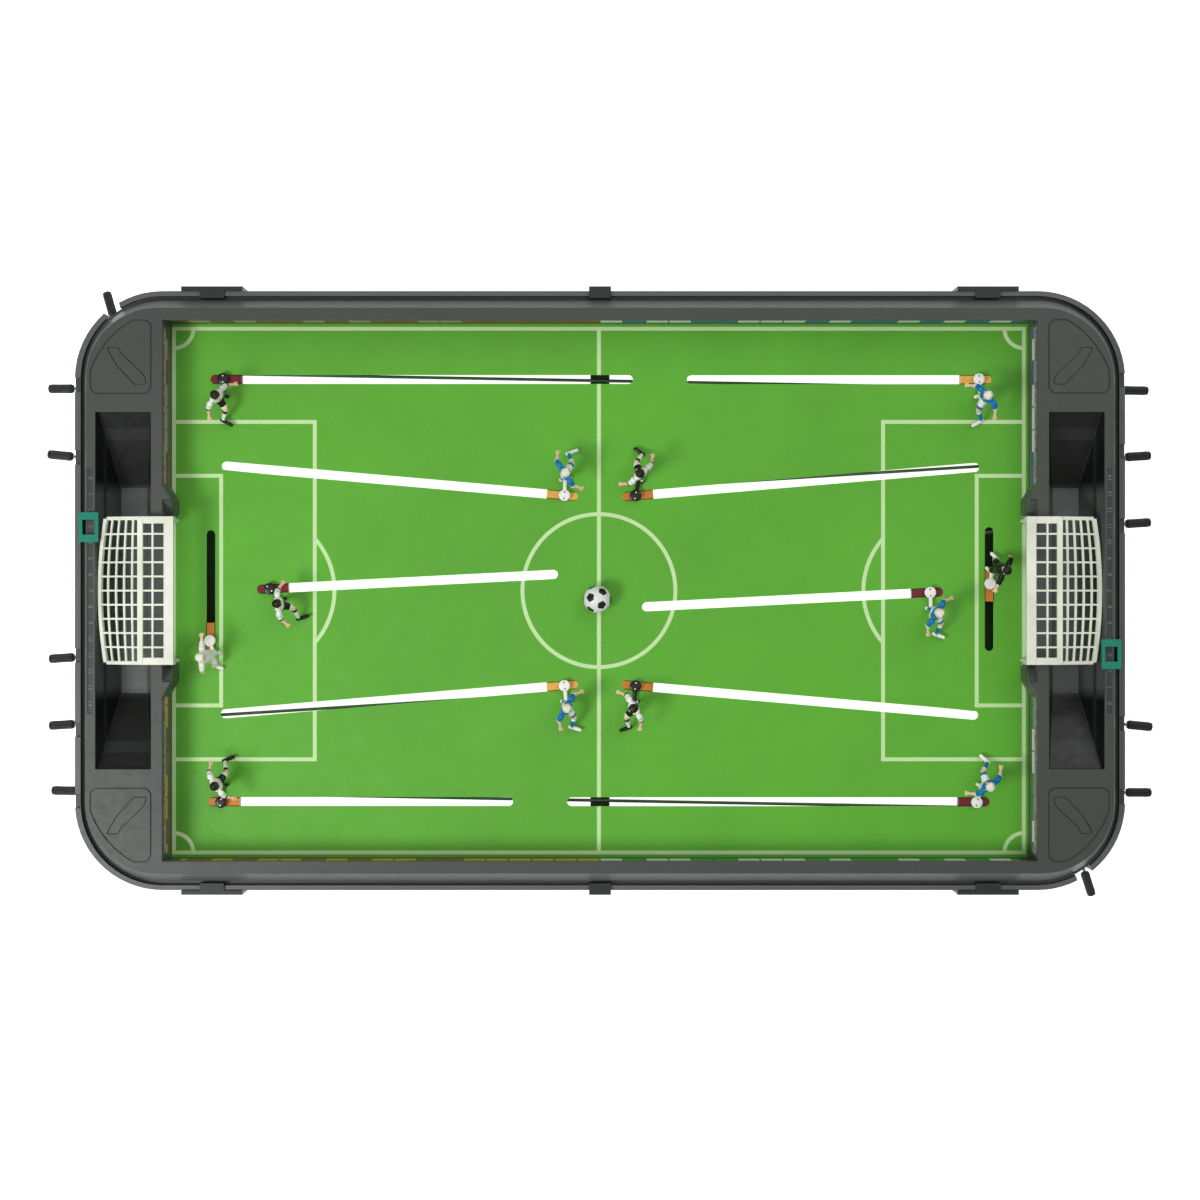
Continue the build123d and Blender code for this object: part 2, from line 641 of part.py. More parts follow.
def shoe():
    """The tongue that fills the slot and the shoe under the board, along +X from a spindle at 0, 0."""
    length = (-CARRIAGE_FRONT + 0.2, CARRIAGE_BACK)
    tongue = block(length, (-TONGUE_HALF, TONGUE_HALF), (SHOE_Z[1] - 1, TONGUE_TOP))
    ends = tongue.edges().filter_by(Axis.Z).group_by(Axis.X)[0]
    tongue = fillet(ends, radius=3)
    return tongue + block(length, (-SHOE_HALF, SHOE_HALF), SHOE_Z)


def carriage(rod_turn, rod_z):
    """A carriage along +X, with its rod turned by rod_turn from the slot's line."""
    body = shoe() + bearing_plates(rod_z, SHOE_Z[0] + 1, SHOE_Z[0] + 1)
    return body - spindle_bore(rod_z - 6.7, TONGUE_TOP + 1) - rod_bore(rod_turn, rod_z)


def keeper_carriage():
    """A keeper's carriage along +X: the shoe alone, with a bore for the yoke's hub."""
    hub_z = (SHOE_Z[0] - 1, HUB_TOP + 0.3)
    hub_bore = Pos(0, 0, sum(hub_z) / 2) * Cylinder(HUB_R + RUNNING_GAP, hub_z[1] - hub_z[0])
    return shoe() - spindle_bore(SHOE_Z[0] - 1, TONGUE_TOP + 1) - hub_bore


def keeper_yoke():
    """The swivelling holder of a keeper's rod, along +X, hung from the shoe by its hub.

    Its front plate is low, so that the centre's rod can pass over it.
    """
    body = bearing_plates(ROD_LOW, ROD_LOW + 4.8, YOKE_TOP - 1)
    body += block((-4.8, 8.5), (-4.8, 12.5), (YOKE_TOP - 3.6, YOKE_TOP))
    body += Pos(0, 0, (YOKE_TOP + HUB_TOP) / 2 - 0.5) * Cylinder(HUB_R, HUB_TOP - YOKE_TOP + 1)
    return body - spindle_bore(ROD_LOW - 6.7, HUB_TOP + 1) - rod_bore(0, ROD_LOW)


def keeper_pin(keeper):
    return (KEEPER_X, KEEPER_SLOT_Y[0] + CARRIAGE_FRONT + keeper.pulled)


# ---- Toy players -----------------------------------------------------------------------------

def limb(start, end, start_r, end_r):
    """A tapered limb between two points, with a round joint at its end."""
    along = Vector(*end) - Vector(*start)
    foot = (Align.CENTER, Align.CENTER, Align.MIN)
    if start_r == end_r:
        shank = Cylinder(start_r, along.length, align=foot)
    else:
        shank = Cone(start_r, end_r, along.length, align=foot)
    return Plane(origin=start, z_dir=along) * shank + Pos(*end) * Sphere(end_r * 1.04)


def toy(limbs):
    """A toy player on its ring, the ring's centre on the Z axis and the body along +X."""
    body = Pos(0, 0, sum(RING_Z) / 2) * Cylinder(RING_R, RING_Z[1] - RING_Z[0])
    for points in limbs:
        for start, end in zip(points, points[1:]):
            body += limb(start[:3], end[:3], start[3], end[3])
    return body - Pos(0, 0, sum(RING_Z) / 2) * Cylinder(SPINDLE_R, 40)


def spindle(rod_z):
    """The spindle a toy player is pressed on, with its gear beside the rod's gear."""
    low = rod_z - 6.2
    high = RING_Z[1] - 0.6
    shaft = Pos(0, 0, (low + high) / 2) * Cylinder(SPINDLE_R, high - low)
    return shaft + Pos(0, 0, rod_z) * grooved(GEAR_R, GEAR_HALF)


def group(solids):
    return Compound(children=list(solids))


def write(node, shape):
    export_step(shape, f"parts/{node}.step")


def write_outfield(team, half_turn, facing, toys):
    """Writes the five outfield players of one team, four nodes each."""
    for player in OUTFIELD:
        name = f"{team}_{player.role}"
        pin = pin_of(player.slot_front, player.slot_back)
        direction = rod_line(pin, (HANDLE_X, player.handle_y))
        along_slot = slot_angle(player.slot_front, player.slot_back)
        reach = (KNOB_START_X + KNOB_LENGTH - 3 - pin[0]) / cos(radians(direction))
        turn = Rot(0, 0, 180 * half_turn)
        slider = carriage(direction - along_slot, player.rod_z)
        write(f"{name}_carriage", turn * Pos(*pin, 0) * Rot(0, 0, along_slot) * slider)
        write(f"{name}_rod", turn * rod_and_gear(pin, direction, player.rod_z, reach))
        write(f"{name}_knob", turn * knob(pin, direction, player.rod_z, reach))
        angle, kicks_right = facing[player.role]
        sign = -1 if half_turn else 1
        place = Pos(sign * pin[0], sign * pin[1], 0) * Rot(0, 0, angle)
        write(f"{name}_figure", group([place * toys[kicks_right], place * spindle(player.rod_z)]))


def write_keeper(keeper, figure):
    """Writes one keeper, five nodes: its rod holder swivels under the carriage."""
    pin = keeper_pin(keeper)
    direction = rod_line(pin, keeper.knob_end)
    reach = hypot(keeper.knob_end[0] - pin[0], keeper.knob_end[1] - pin[1]) - 3
    turn = Rot(0, 0, 180 * keeper.half_turn)
    write(f"{keeper.name}_carriage", turn * Pos(*pin, 0) * Rot(0, 0, 90) * keeper_carriage())
    write(f"{keeper.name}_yoke", turn * Pos(*pin, 0) * Rot(0, 0, direction) * keeper_yoke())
    write(f"{keeper.name}_rod", turn * rod_and_gear(pin, direction, ROD_LOW, reach))
    write(f"{keeper.name}_knob", turn * knob(pin, direction, ROD_LOW, reach))
    place = turn * Pos(*pin, 0) * Rot(0, 0, keeper.facing)
    write(f"{keeper.name}_figure", group([place * figure, place * spindle(ROD_LOW)]))


def main():
    os.makedirs("parts", exist_ok=True)
    write("frame_shell", frame_shell())
    write("pitch_board", pitch_board())
    goals = both_ends(goal())
    write("goal_left", goals[0])
    write("goal_right", goals[1])
    write("wall_strips", wall_strips())
    write("side_clips", side_clips())
    write("foot_pads", foot_pads())
    sliders = both_ends(score_slider())
    write("score_slider_left", sliders[0])
    write("score_slider_right", sliders[1])
    write("ball", ball())

    left_footed = toy(OUTFIELD_LIMBS)
    toys = {False: left_footed, True: mirror(left_footed, about=Plane.XZ)}
    write_outfield("white", False, WHITE_FACING, toys)
    write_outfield("blue", True, BLUE_FACING, toys)
    for keeper in KEEPERS:
        write_keeper(keeper, toy(KEEPER_LIMBS))


main()
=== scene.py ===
"""Looks of the tabletop football game.

The CAD pieces get procedural materials. The toy players, the ball and the grips get finer meshes that
replace theirs, and the score numbers are added on the deck.
"""

import json
import math

import bmesh
import bpy
import numpy as np
from mathutils import Matrix, Vector, noise


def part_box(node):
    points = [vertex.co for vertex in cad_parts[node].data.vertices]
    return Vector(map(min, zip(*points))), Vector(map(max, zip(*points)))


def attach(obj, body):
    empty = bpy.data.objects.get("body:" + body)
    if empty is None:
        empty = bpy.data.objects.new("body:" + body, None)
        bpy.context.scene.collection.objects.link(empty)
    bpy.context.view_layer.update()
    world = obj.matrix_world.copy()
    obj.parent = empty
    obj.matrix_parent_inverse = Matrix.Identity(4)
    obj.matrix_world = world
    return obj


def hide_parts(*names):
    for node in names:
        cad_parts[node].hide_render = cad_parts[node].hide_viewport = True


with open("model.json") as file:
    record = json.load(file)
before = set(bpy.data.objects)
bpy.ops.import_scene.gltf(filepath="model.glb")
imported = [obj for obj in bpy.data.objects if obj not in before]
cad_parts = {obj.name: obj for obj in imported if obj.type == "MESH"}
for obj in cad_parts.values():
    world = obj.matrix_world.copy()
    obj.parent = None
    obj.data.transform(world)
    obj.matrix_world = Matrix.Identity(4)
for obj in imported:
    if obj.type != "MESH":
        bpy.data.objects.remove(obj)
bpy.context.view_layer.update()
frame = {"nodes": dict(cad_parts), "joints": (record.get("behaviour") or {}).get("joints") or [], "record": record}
nodes = frame["nodes"]
record = frame["record"]
joints = {joint["name"]: joint for joint in frame["joints"]}
colors = {m["slot"]: tuple(m["base_color"][:3]) for m in record["materials"]}
node_slot = {part["node"]: part["material_slot"] for part in record["subparts"]}
MM = 0.001

# Zones of the frame where shade is painted into the colour, in metres: heights, and distances from the middle
DECK_Z = 0.1093
ENGRAVED_Z = (0.1086, 0.1093)
ENGRAVED_HALF = (0.4645, 0.2555)
TROUGH_X = (0.4055, 0.4582)
TROUGH_HALF_Y = 0.1625
TROUGH_Z = (0.063, 0.1094)
# Painted shade: where the troughs' ends under the goals turn nearly black
TROUGH_GOAL_SHADE_Y = (0.088, 0.1)
RIM_GROOVE_Z = (0.0895, 0.0955)
UNDERSIDE_Z = 0.0275
# Painted shade: the deck top's colour, darker than the rest of the charcoal moulding
DECK_SHADED_COLOR = (0.035, 0.039, 0.031)

# The pitch's printed lines, in metres from its middle
PITCH_MIDDLE_X = -0.001
FIELD_HALF = (0.3935, 0.2425)
LINE_HALF_WIDTH = 0.0018
LINE_SOFT = 0.00018
CENTRE_RADIUS = 0.0708
LARGE_AREA = (0.2631, 0.1562)
SMALL_AREA = (0.3498, 0.1063)
ARC_CENTRE_X = 0.3179
ARC_RADIUS = 0.073
CORNER_RADIUS = 0.018
PITCH_GREEN = (0.09, 0.385, 0.014)
LINE_COLOR = (0.6, 0.84, 0.42)

# The card strips: hoardings below, a crowd above
END_STRIP_X = 0.39
BOARD_LENGTH = 0.021
BOARD_TOP_Z = 0.0965
SEAM_COLOR = (0.05, 0.05, 0.05)
BOARD_EDGE_COLOR = (0.8, 0.8, 0.78)
CROWD_COLOR = (0.16, 0.07, 0.05)
LEFT_FAR_BOARDS = ((0.26, 0.035, 0.02), (0.4, 0.26, 0.2))
LEFT_NEAR_BOARDS = ((0.7, 0.38, 0.02), (0.3, 0.1, 0.03))
RIGHT_FAR_BOARDS = ((0.03, 0.12, 0.42), (0.74, 0.76, 0.8))
RIGHT_NEAR_BOARDS = ((0.06, 0.3, 0.08), (0.75, 0.78, 0.72))


# ---- Materials -------------------------------------------------------------------------------

class Tree:
    """A short way to write a material's nodes."""

    def __init__(self, name):
        self.mat = bpy.data.materials.new(name)
        self.mat.use_nodes = True
        self.nodes = self.mat.node_tree.nodes
        self.links = self.mat.node_tree.links
        self.shader = self.nodes["Principled BSDF"]
        self.at = self.nodes.new("ShaderNodeTexCoord").outputs["Object"]

    def put(self, socket, value):
        if isinstance(value, bpy.types.NodeSocket):
            self.links.new(value, socket)
        elif isinstance(value, (tuple, list)) and len(value) == 3 and socket.type == "RGBA":
            socket.default_value = (*value, 1.0)
        else:
            socket.default_value = value

    def add(self, kind, out=0, settings=None, **inputs):
        node = self.nodes.new("ShaderNode" + kind)
        for key, value in (settings or {}).items():
            setattr(node, key, value)
        for key, value in inputs.items():
            self.put(node.inputs[key.replace("_", " ")], value)
        return node.outputs[out]

    def math(self, operation, a, b=0.0, c=0.0):
        node = self.nodes.new("ShaderNodeMath")
        node.operation = operation
        for socket, value in zip(node.inputs, (a, b, c)):
            self.put(socket, value)
        return node.outputs[0]

    def times(self, first, *more):
        for factor in more:
            first = self.math("MULTIPLY", first, factor)
        return first

    def between(self, value, low, high):
        """1 where value is over low and under high."""
        return self.times(self.math("GREATER_THAN", value, low), self.math("LESS_THAN", value, high))

    def dot(self, a, b):
        node = self.nodes.new("ShaderNodeVectorMath")
        node.operation = "DOT_PRODUCT"
        self.put(node.inputs[0], a)
        self.put(node.inputs[1], b)
        return node.outputs[1]

    def xyz(self):
        node = self.nodes.new("ShaderNodeSeparateXYZ")
        self.links.new(self.at, node.inputs[0])
        return node.outputs[0], node.outputs[1], node.outputs[2]

    def stretch(self, scale):
        node = self.nodes.new("ShaderNodeMapping")
        self.links.new(self.at, node.inputs[0])
        node.inputs["Scale"].default_value = scale
        return node.outputs[0]

    def noise(self, scale, detail=3.0, roughness=0.5, at=None):
        return self.add("TexNoise", Vector=at or self.at, Scale=scale, Detail=detail, Roughness=roughness)

    def spread(self, value, low, high, to_low=0.0, to_high=1.0):
        """value rescaled from low..high to to_low..to_high, and clamped."""
        node = self.nodes.new("ShaderNodeMapRange")
        limits = {"From Min": low, "From Max": high, "To Min": to_low, "To Max": to_high}
        for key, number in limits.items():
            node.inputs[key].default_value = number
        self.links.new(value, node.inputs["Value"])
        return node.outputs[0]

    def mix(self, factor, a, b, blend="MIX"):
        node = self.nodes.new("ShaderNodeMix")
        node.data_type = "RGBA"
        node.blend_type = blend
        for socket, value in zip((node.inputs[0], node.inputs[6], node.inputs[7]), (factor, a, b)):
            self.put(socket, value)
        return node.outputs[2]

    def bump(self, height, distance, strength=1.0, over=None):
        inputs = {"Height": height, "Distance": distance, "Strength": strength}
        if over is not None:
            inputs["Normal"] = over
        return self.add("Bump", **inputs)

    def bevel(self, radius):
        return self.add("Bevel", settings={"samples": 4}, Radius=radius)

    def finish(self, **inputs):
        for key, value in inputs.items():
            self.put(self.shader.inputs[key.replace("_", " ")], value)
        return self.mat


def shade(color, factor):
    return tuple(min(1.0, c * factor) for c in color)


def moulded(name, color, roughness, grain=1800.0, depth=0.00004, coat=0.0, vary=0.12, bevel=0.0):
    """Moulded or painted plastic: cloudy colour, uneven gloss, fine moulding grain."""
    tree = Tree(name)
    cloud = tree.noise(26.0, 4.0, 0.6)
    tint = tree.mix(tree.spread(cloud, 0.3, 0.7), shade(color, 1 - vary), shade(color, 1 + vary))
    scuff = tree.noise(240.0, 5.0, 0.65)
    rough = tree.spread(scuff, 0.3, 0.75, roughness * 0.82, min(1.0, roughness * 1.25))
    normal = tree.bump(tree.noise(grain, 2.0), depth, 0.6, over=tree.bevel(bevel) if bevel else None)
    return tree.finish(Base_Color=tint, Roughness=rough, Normal=normal, Coat_Weight=coat,
                       Coat_Roughness=0.12, Specular_IOR_Level=0.35)


def frame_material():
    """Charcoal plastic with a fine grain and painted highlights on its rounded edges; painted shade in grooves,
    in the engraved line, on the underside and on the deck top, and darker and glossier at the ends of the
    troughs, where nearly black shade under the goals is painted."""
    tree = Tree("charcoal_moulding")
    x, y, z = tree.xyz()
    ax = tree.math("ABSOLUTE", x)
    ay = tree.math("ABSOLUTE", y)
    color = colors["frame_charcoal"]

    cloud = tree.spread(tree.noise(9.0, 5.0, 0.6), 0.3, 0.7)
    tint = tree.mix(cloud, shade(color, 0.88), shade(color, 1.1))
    # Painted shade: the deck top is painted darker than the rest of the moulding, against its reflection of the
    # lamps
    deck_shaded_tint = tree.mix(cloud, shade(DECK_SHADED_COLOR, 0.88), shade(DECK_SHADED_COLOR, 1.12))
    tint = tree.mix(tree.math("GREATER_THAN", z, DECK_Z), tint, deck_shaded_tint)
    speck = tree.spread(tree.noise(1500.0, 2.0), 0.35, 0.7, 0.0, 0.35)
    tint = tree.mix(speck, tint, shade(color, 1.22))

    # Painted shade in the troughs: a little in their middle, and nearly black at their ends, in the shade under
    # the goals
    in_trough = tree.times(tree.between(ax, *TROUGH_X), tree.math("LESS_THAN", ay, TROUGH_HALF_Y),
                           tree.between(z, *TROUGH_Z))
    middle = tree.spread(ay, *TROUGH_GOAL_SHADE_Y, 1.0, 0.0)
    tint = tree.mix(in_trough, tint, tree.mix(middle, shade(color, 0.08), shade(color, 0.9)))
    # Painted shade in the engraved recess just under the deck top
    engraved = tree.times(tree.between(z, *ENGRAVED_Z), tree.math("LESS_THAN", ax, ENGRAVED_HALF[0]),
                          tree.math("LESS_THAN", ay, ENGRAVED_HALF[1]))
    tint = tree.mix(engraved, tint, shade(color, 0.3))
    # Painted shade: all of the frame below UNDERSIDE_Z is painted nearly black
    tint = tree.mix(tree.math("LESS_THAN", z, UNDERSIDE_Z), tint, shade(color, 0.12))
    # Painted shade in the groove under the rim
    in_groove = tree.between(z, *RIM_GROOVE_Z)
    tint = tree.mix(tree.times(in_groove, 0.75), tint, shade(color, 0.25))

    rounded = tree.bevel(0.0007)
    # Painted highlight: the rounded edges are painted paler than the charcoal
    true_normal = tree.add("NewGeometry", out=1)
    edge = tree.spread(tree.dot(rounded, true_normal), 0.995, 0.86)
    tint = tree.mix(tree.times(edge, 0.35), tint, shade(color, 2.3))

    rough = tree.spread(tree.noise(120.0, 6.0, 0.7), 0.3, 0.75, 0.36, 0.56)
    rough = tree.math("SUBTRACT", rough, tree.times(in_trough, 0.14))
    less_grain = tree.math("SUBTRACT", 1.0, tree.times(in_trough, 0.8))
    grain = tree.times(tree.noise(1900.0, 2.0), less_grain)
    normal = tree.bump(grain, 0.00005, 0.7, over=rounded)
    return tree.finish(Base_Color=tint, Roughness=rough, Normal=normal)


def pitch_material():
    """Green printed sheet with pale field lines."""
    tree = Tree("printed_pitch")
    x, y, _ = tree.xyz()
    ax = tree.math("ABSOLUTE", tree.math("SUBTRACT", x, PITCH_MIDDLE_X))
    ay = tree.math("ABSOLUTE", y)

    def thin(distance):
        """1 where distance is within half a line's width of zero."""
        return tree.spread(tree.math("ABSOLUTE", distance), LINE_HALF_WIDTH - LINE_SOFT,
                           LINE_HALF_WIDTH + LINE_SOFT, 1.0, 0.0)

    def ring(centre, radius):
        dx = tree.math("SUBTRACT", ax, centre[0])
        dy = tree.math("SUBTRACT", ay, centre[1])
        squares = tree.math("ADD", tree.times(dx, dx), tree.times(dy, dy))
        return thin(tree.math("SUBTRACT", tree.math("SQRT", squares), radius))

    def area_edge(inner_x, half_y):
        """The outline of an area that reaches from the goal line in to inner_x."""
        out = tree.math("SUBTRACT", inner_x, ax)
        side = tree.math("SUBTRACT", ay, half_y)
        return thin(tree.math("MAXIMUM", out, side))

    past_end = tree.math("SUBTRACT", ax, FIELD_HALF[0])
    past_side = tree.math("SUBTRACT", ay, FIELD_HALF[1])
    edge = tree.math("MAXIMUM", past_end, past_side)
    arc = ring((ARC_CENTRE_X, 0.0), ARC_RADIUS)
    marks = [
        thin(edge),
        thin(ax),
        ring((0.0, 0.0), CENTRE_RADIUS),
        area_edge(*LARGE_AREA),
        area_edge(*SMALL_AREA),
        tree.times(arc, tree.math("LESS_THAN", ax, LARGE_AREA[0])),
        ring(FIELD_HALF, CORNER_RADIUS),
    ]
    lines = marks[0]
    for mark in marks[1:]:
        lines = tree.math("MAXIMUM", lines, mark)
    lines = tree.times(lines, tree.math("LESS_THAN", edge, LINE_HALF_WIDTH))

    cloud = tree.spread(tree.noise(7.0, 6.0, 0.62), 0.32, 0.68)
    grass = tree.mix(cloud, shade(PITCH_GREEN, 0.9), shade(PITCH_GREEN, 1.1))
    blades = tree.spread(tree.noise(620.0, 3.0, 0.7, at=tree.stretch((1.0, 0.45, 1.0))), 0.3, 0.7)
    grass = tree.mix(tree.times(blades, 0.35), grass, shade(PITCH_GREEN, 1.28))
    specks = tree.spread(tree.noise(1500.0, 1.0), 0.58, 0.72)
    grass = tree.mix(tree.times(specks, 0.25), grass, shade(PITCH_GREEN, 0.7))
    worn = tree.spread(tree.noise(900.0, 3.0), 0.25, 0.6, 0.72, 1.0)
    tint = tree.mix(tree.times(lines, worn), grass, LINE_COLOR)
    rough = tree.spread(tree.noise(60.0, 5.0, 0.7), 0.3, 0.7, 0.5, 0.66)
    height = tree.math("ADD", tree.times(blades, 0.4), lines)
    normal = tree.bump(height, 0.00005, 0.5)
    return tree.finish(Base_Color=tint, Roughness=rough, Normal=normal)


def card_material():
    """Printed card: a crowd above, and plain coloured hoardings below, different on each wall."""
    tree = Tree("printed_card")
    x, y, z = tree.xyz()
    at_end = tree.math("GREATER_THAN", tree.math("ABSOLUTE", x), END_STRIP_X)
    on_side = tree.math("SUBTRACT", 1.0, at_end)
    along = tree.math("ADD", tree.times(at_end, y), tree.times(on_side, x))
    boards = tree.math("DIVIDE", along, BOARD_LENGTH)
    pick = tree.add("TexWhiteNoise", settings={"noise_dimensions": "1D"}, W=tree.math("FLOOR", boards))
    second = tree.math("GREATER_THAN", pick, 0.55)
    left = tree.math("LESS_THAN", x, 0.0)
    far = tree.math("GREATER_THAN", y, 0.0)

    left_tint = tree.mix(far, tree.mix(second, *LEFT_NEAR_BOARDS), tree.mix(second, *LEFT_FAR_BOARDS))
    right_tint = tree.mix(far, tree.mix(second, *RIGHT_NEAR_BOARDS), tree.mix(second, *RIGHT_FAR_BOARDS))
    tint = tree.mix(left, right_tint, left_tint)
    from_middle = tree.math("ABSOLUTE", tree.math("SUBTRACT", tree.math("FRACT", boards), 0.5))
    on_board = tree.math("LESS_THAN", from_middle, 0.47)
    tint = tree.mix(on_board, SEAM_COLOR, tint)

    people = tree.nodes.new("ShaderNodeTexVoronoi")
    tree.links.new(tree.at, people.inputs["Vector"])
    people.inputs["Scale"].default_value = 420.0
    crowd = tree.mix(0.62, people.outputs["Color"], CROWD_COLOR)
    tint = tree.mix(tree.math("GREATER_THAN", z, BOARD_TOP_Z), tint, crowd)
    from_top = tree.math("ABSOLUTE", tree.math("SUBTRACT", z, BOARD_TOP_Z))
    tint = tree.mix(tree.math("LESS_THAN", from_top, 0.0005), tint, BOARD_EDGE_COLOR)
    rough = tree.spread(tree.noise(300.0), 0.3, 0.7, 0.42, 0.6)
    normal = tree.bump(tree.noise(1200.0), 0.00003, 0.4)
    return tree.finish(Base_Color=tint, Roughness=rough, Normal=normal)


def steel_material():
    """Drawn rod: fine scratches round and along it."""
    tree = Tree("drawn_steel")
    streak = tree.noise(40.0, 5.0, 0.7, at=tree.stretch((1.0, 30.0, 30.0)))
    tint = tree.mix(tree.spread(streak, 0.3, 0.7), (0.1, 0.1, 0.105), (0.2, 0.2, 0.205))
    rough = tree.spread(streak, 0.3, 0.7, 0.22, 0.4)
    normal = tree.bump(streak, 0.00003, 0.4)
    return tree.finish(Base_Color=tint, Roughness=rough, Normal=normal, Metallic=1.0)


def wear(obj, material):
    """Puts a material on every face of an object."""
    if not obj.material_slots:
        obj.data.materials.append(material)
    for slot in obj.material_slots:
        slot.material = material


steel = steel_material()
plastics = {
    "goal_white": moulded("goal_plastic", (0.8, 0.83, 0.7), 0.36, bevel=0.0004),
    "clip_black": moulded("clip_plastic", colors["clip_black"], 0.4, bevel=0.0005),
    "rubber": moulded("pad_rubber", colors["rubber"], 0.8, depth=0.0001),
    "slider_teal": moulded("slider_plastic", (0.0, 0.22, 0.14), 0.28, vary=0.06, bevel=0.0004),
    "knob": moulded("grip_plastic", (0.016, 0.017, 0.018), 0.42, grain=2600.0),
}
carriage_colors = {
    "red": (0.16, 0.006, 0.008),
    "orange": (0.6, 0.2, 0.015),
    "yellow": (0.8, 0.42, 0.07),
}
for color_name, color in carriage_colors.items():
    slot_name = "carriage_" + color_name
    plastics[slot_name] = moulded(slot_name + "_plastic", color, 0.3, vary=0.08, bevel=0.0003)
finishes = {
    **plastics,
    "frame_charcoal": frame_material(),
    "pitch_green": pitch_material(),
    "card": card_material(),
    "steel": steel,
}
for node, obj in nodes.items():
    if node_slot[node] in finishes:
        wear(obj, finishes[node_slot[node]])


# ---- Mesh helpers ----------------------------------------------------------------------------

def make_object(name, verts, faces):
    """An object in the scene, shaded smooth."""
    mesh = bpy.data.meshes.new(name)
    mesh.from_pydata([tuple(v) for v in verts], [], [tuple(f) for f in faces])
    mesh.validate()
    mesh.update()
    mesh.polygons.foreach_set("use_smooth", [True] * len(mesh.polygons))
    obj = bpy.data.objects.new(name, mesh)
    bpy.context.scene.collection.objects.link(obj)
    return obj


def basis(direction):
    """Two unit vectors across a direction."""
    d = np.array(direction, float)
    d /= np.linalg.norm(d)
    helper = np.array((0, 0, 1.0)) if abs(d[2]) < 0.9 else np.array((1.0, 0, 0))
    u = np.cross(helper, d)
    u /= np.linalg.norm(u)
    return u, np.cross(d, u), d


RIBBED_SHARES = (0.06, 0.86)


def tube(start, end, profile, sides=24, ribs=0, rib_depth=0.0):
    """A turned piece along start..end. profile holds (share of the length, radius).

    ribs is how many ribs run lengthwise, between RIBBED_SHARES of the length.
    """
    u, v, d = basis(np.array(end) - np.array(start))
    length = np.linalg.norm(np.array(end) - np.array(start))
    verts, faces = [], []
    for share, radius in profile:
        for k in range(sides):
            turn = 2 * math.pi * k / sides
            dip = 0.0
            if ribs and RIBBED_SHARES[0] < share < RIBBED_SHARES[1]:
                dip = rib_depth * (0.5 - 0.5 * math.cos(ribs * turn)) ** 3
            spot = np.array(start) + d * share * length
            verts.append(spot + (u * math.cos(turn) + v * math.sin(turn)) * (radius - dip))
    for ring in range(len(profile) - 1):
        for k in range(sides):
            a = ring * sides + k
            b = ring * sides + (k + 1) % sides
            faces.append((a, b, b + sides, a + sides))
    faces.append(tuple(reversed(range(sides))))
    last = (len(profile) - 1) * sides
    faces.append(tuple(range(last, last + sides)))
    return verts, faces


def merge(pieces):
    verts, faces = [], []
    for piece_verts, piece_faces in pieces:
        base = len(verts)
        verts.extend(piece_verts)
        faces.extend(tuple(base + i for i in face) for face in piece_faces)
    return verts, faces


# ---- Grips -----------------------------------------------------------------------------------

GRIP_SIDES = 112
GRIP_RIBS = 14
GRIP_RIB_DEPTH = 0.0006


def grip_profile():
    """(share of the length, share of the radius) from the rod's side: collar, waist, groove and dome."""
    collar = [(0.0, 0.42), (0.0, 0.8), (0.015, 0.86), (0.045, 0.86), (0.06, 0.93)]
    waist = [(share, 1.0 - 0.03 * math.sin(math.pi * (share - 0.08) / 0.76))
             for share in np.linspace(0.08, 0.84, 16)]
    groove = [(0.855, 0.97), (0.865, 0.88), (0.88, 0.87), (0.89, 0.94), (0.9, 0.97)]
    dome = [(0.9 + 0.1 * math.sin(a), 0.97 * math.cos(a)) for a in np.linspace(0.12, 1.5, 9)]
    return collar + waist + groove + dome


def grip(node, joint):
    """A ribbed grip with a collar and a domed end, on the last of a rod."""
    origin = np.array(joint["pos_m"])
    axis = np.array(joint["axis"])
    co = np.array([v.co for v in nodes[node].data.vertices]) - origin
    reach = co @ axis
    radius = np.linalg.norm(co - np.outer(reach, axis), axis=1).max()
    low, high = reach.min(), reach.max()
    profile = [(share, r * radius) for share, r in grip_profile()]
    ends = (origin + axis * low, origin + axis * high)
    verts, faces = tube(*ends, profile, GRIP_SIDES, GRIP_RIBS, GRIP_RIB_DEPTH)
    piece = make_object(node + "_look", verts, faces)
    wear(piece, plastics["knob"])
    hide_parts(node)
    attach(piece, joint["child"])


for node in [n for n in nodes if n.endswith("_knob")]:
    grip(node, joints[node.replace("_knob", "_rod_spin")])


# ---- Ball ------------------------------------------------------------------------------------

FIVE_HALF_ANGLE = 20.9
SIX_HALF_ANGLE = 23.8
SEAM_WIDTH = 0.035
SEAM_DEPTH = 0.025


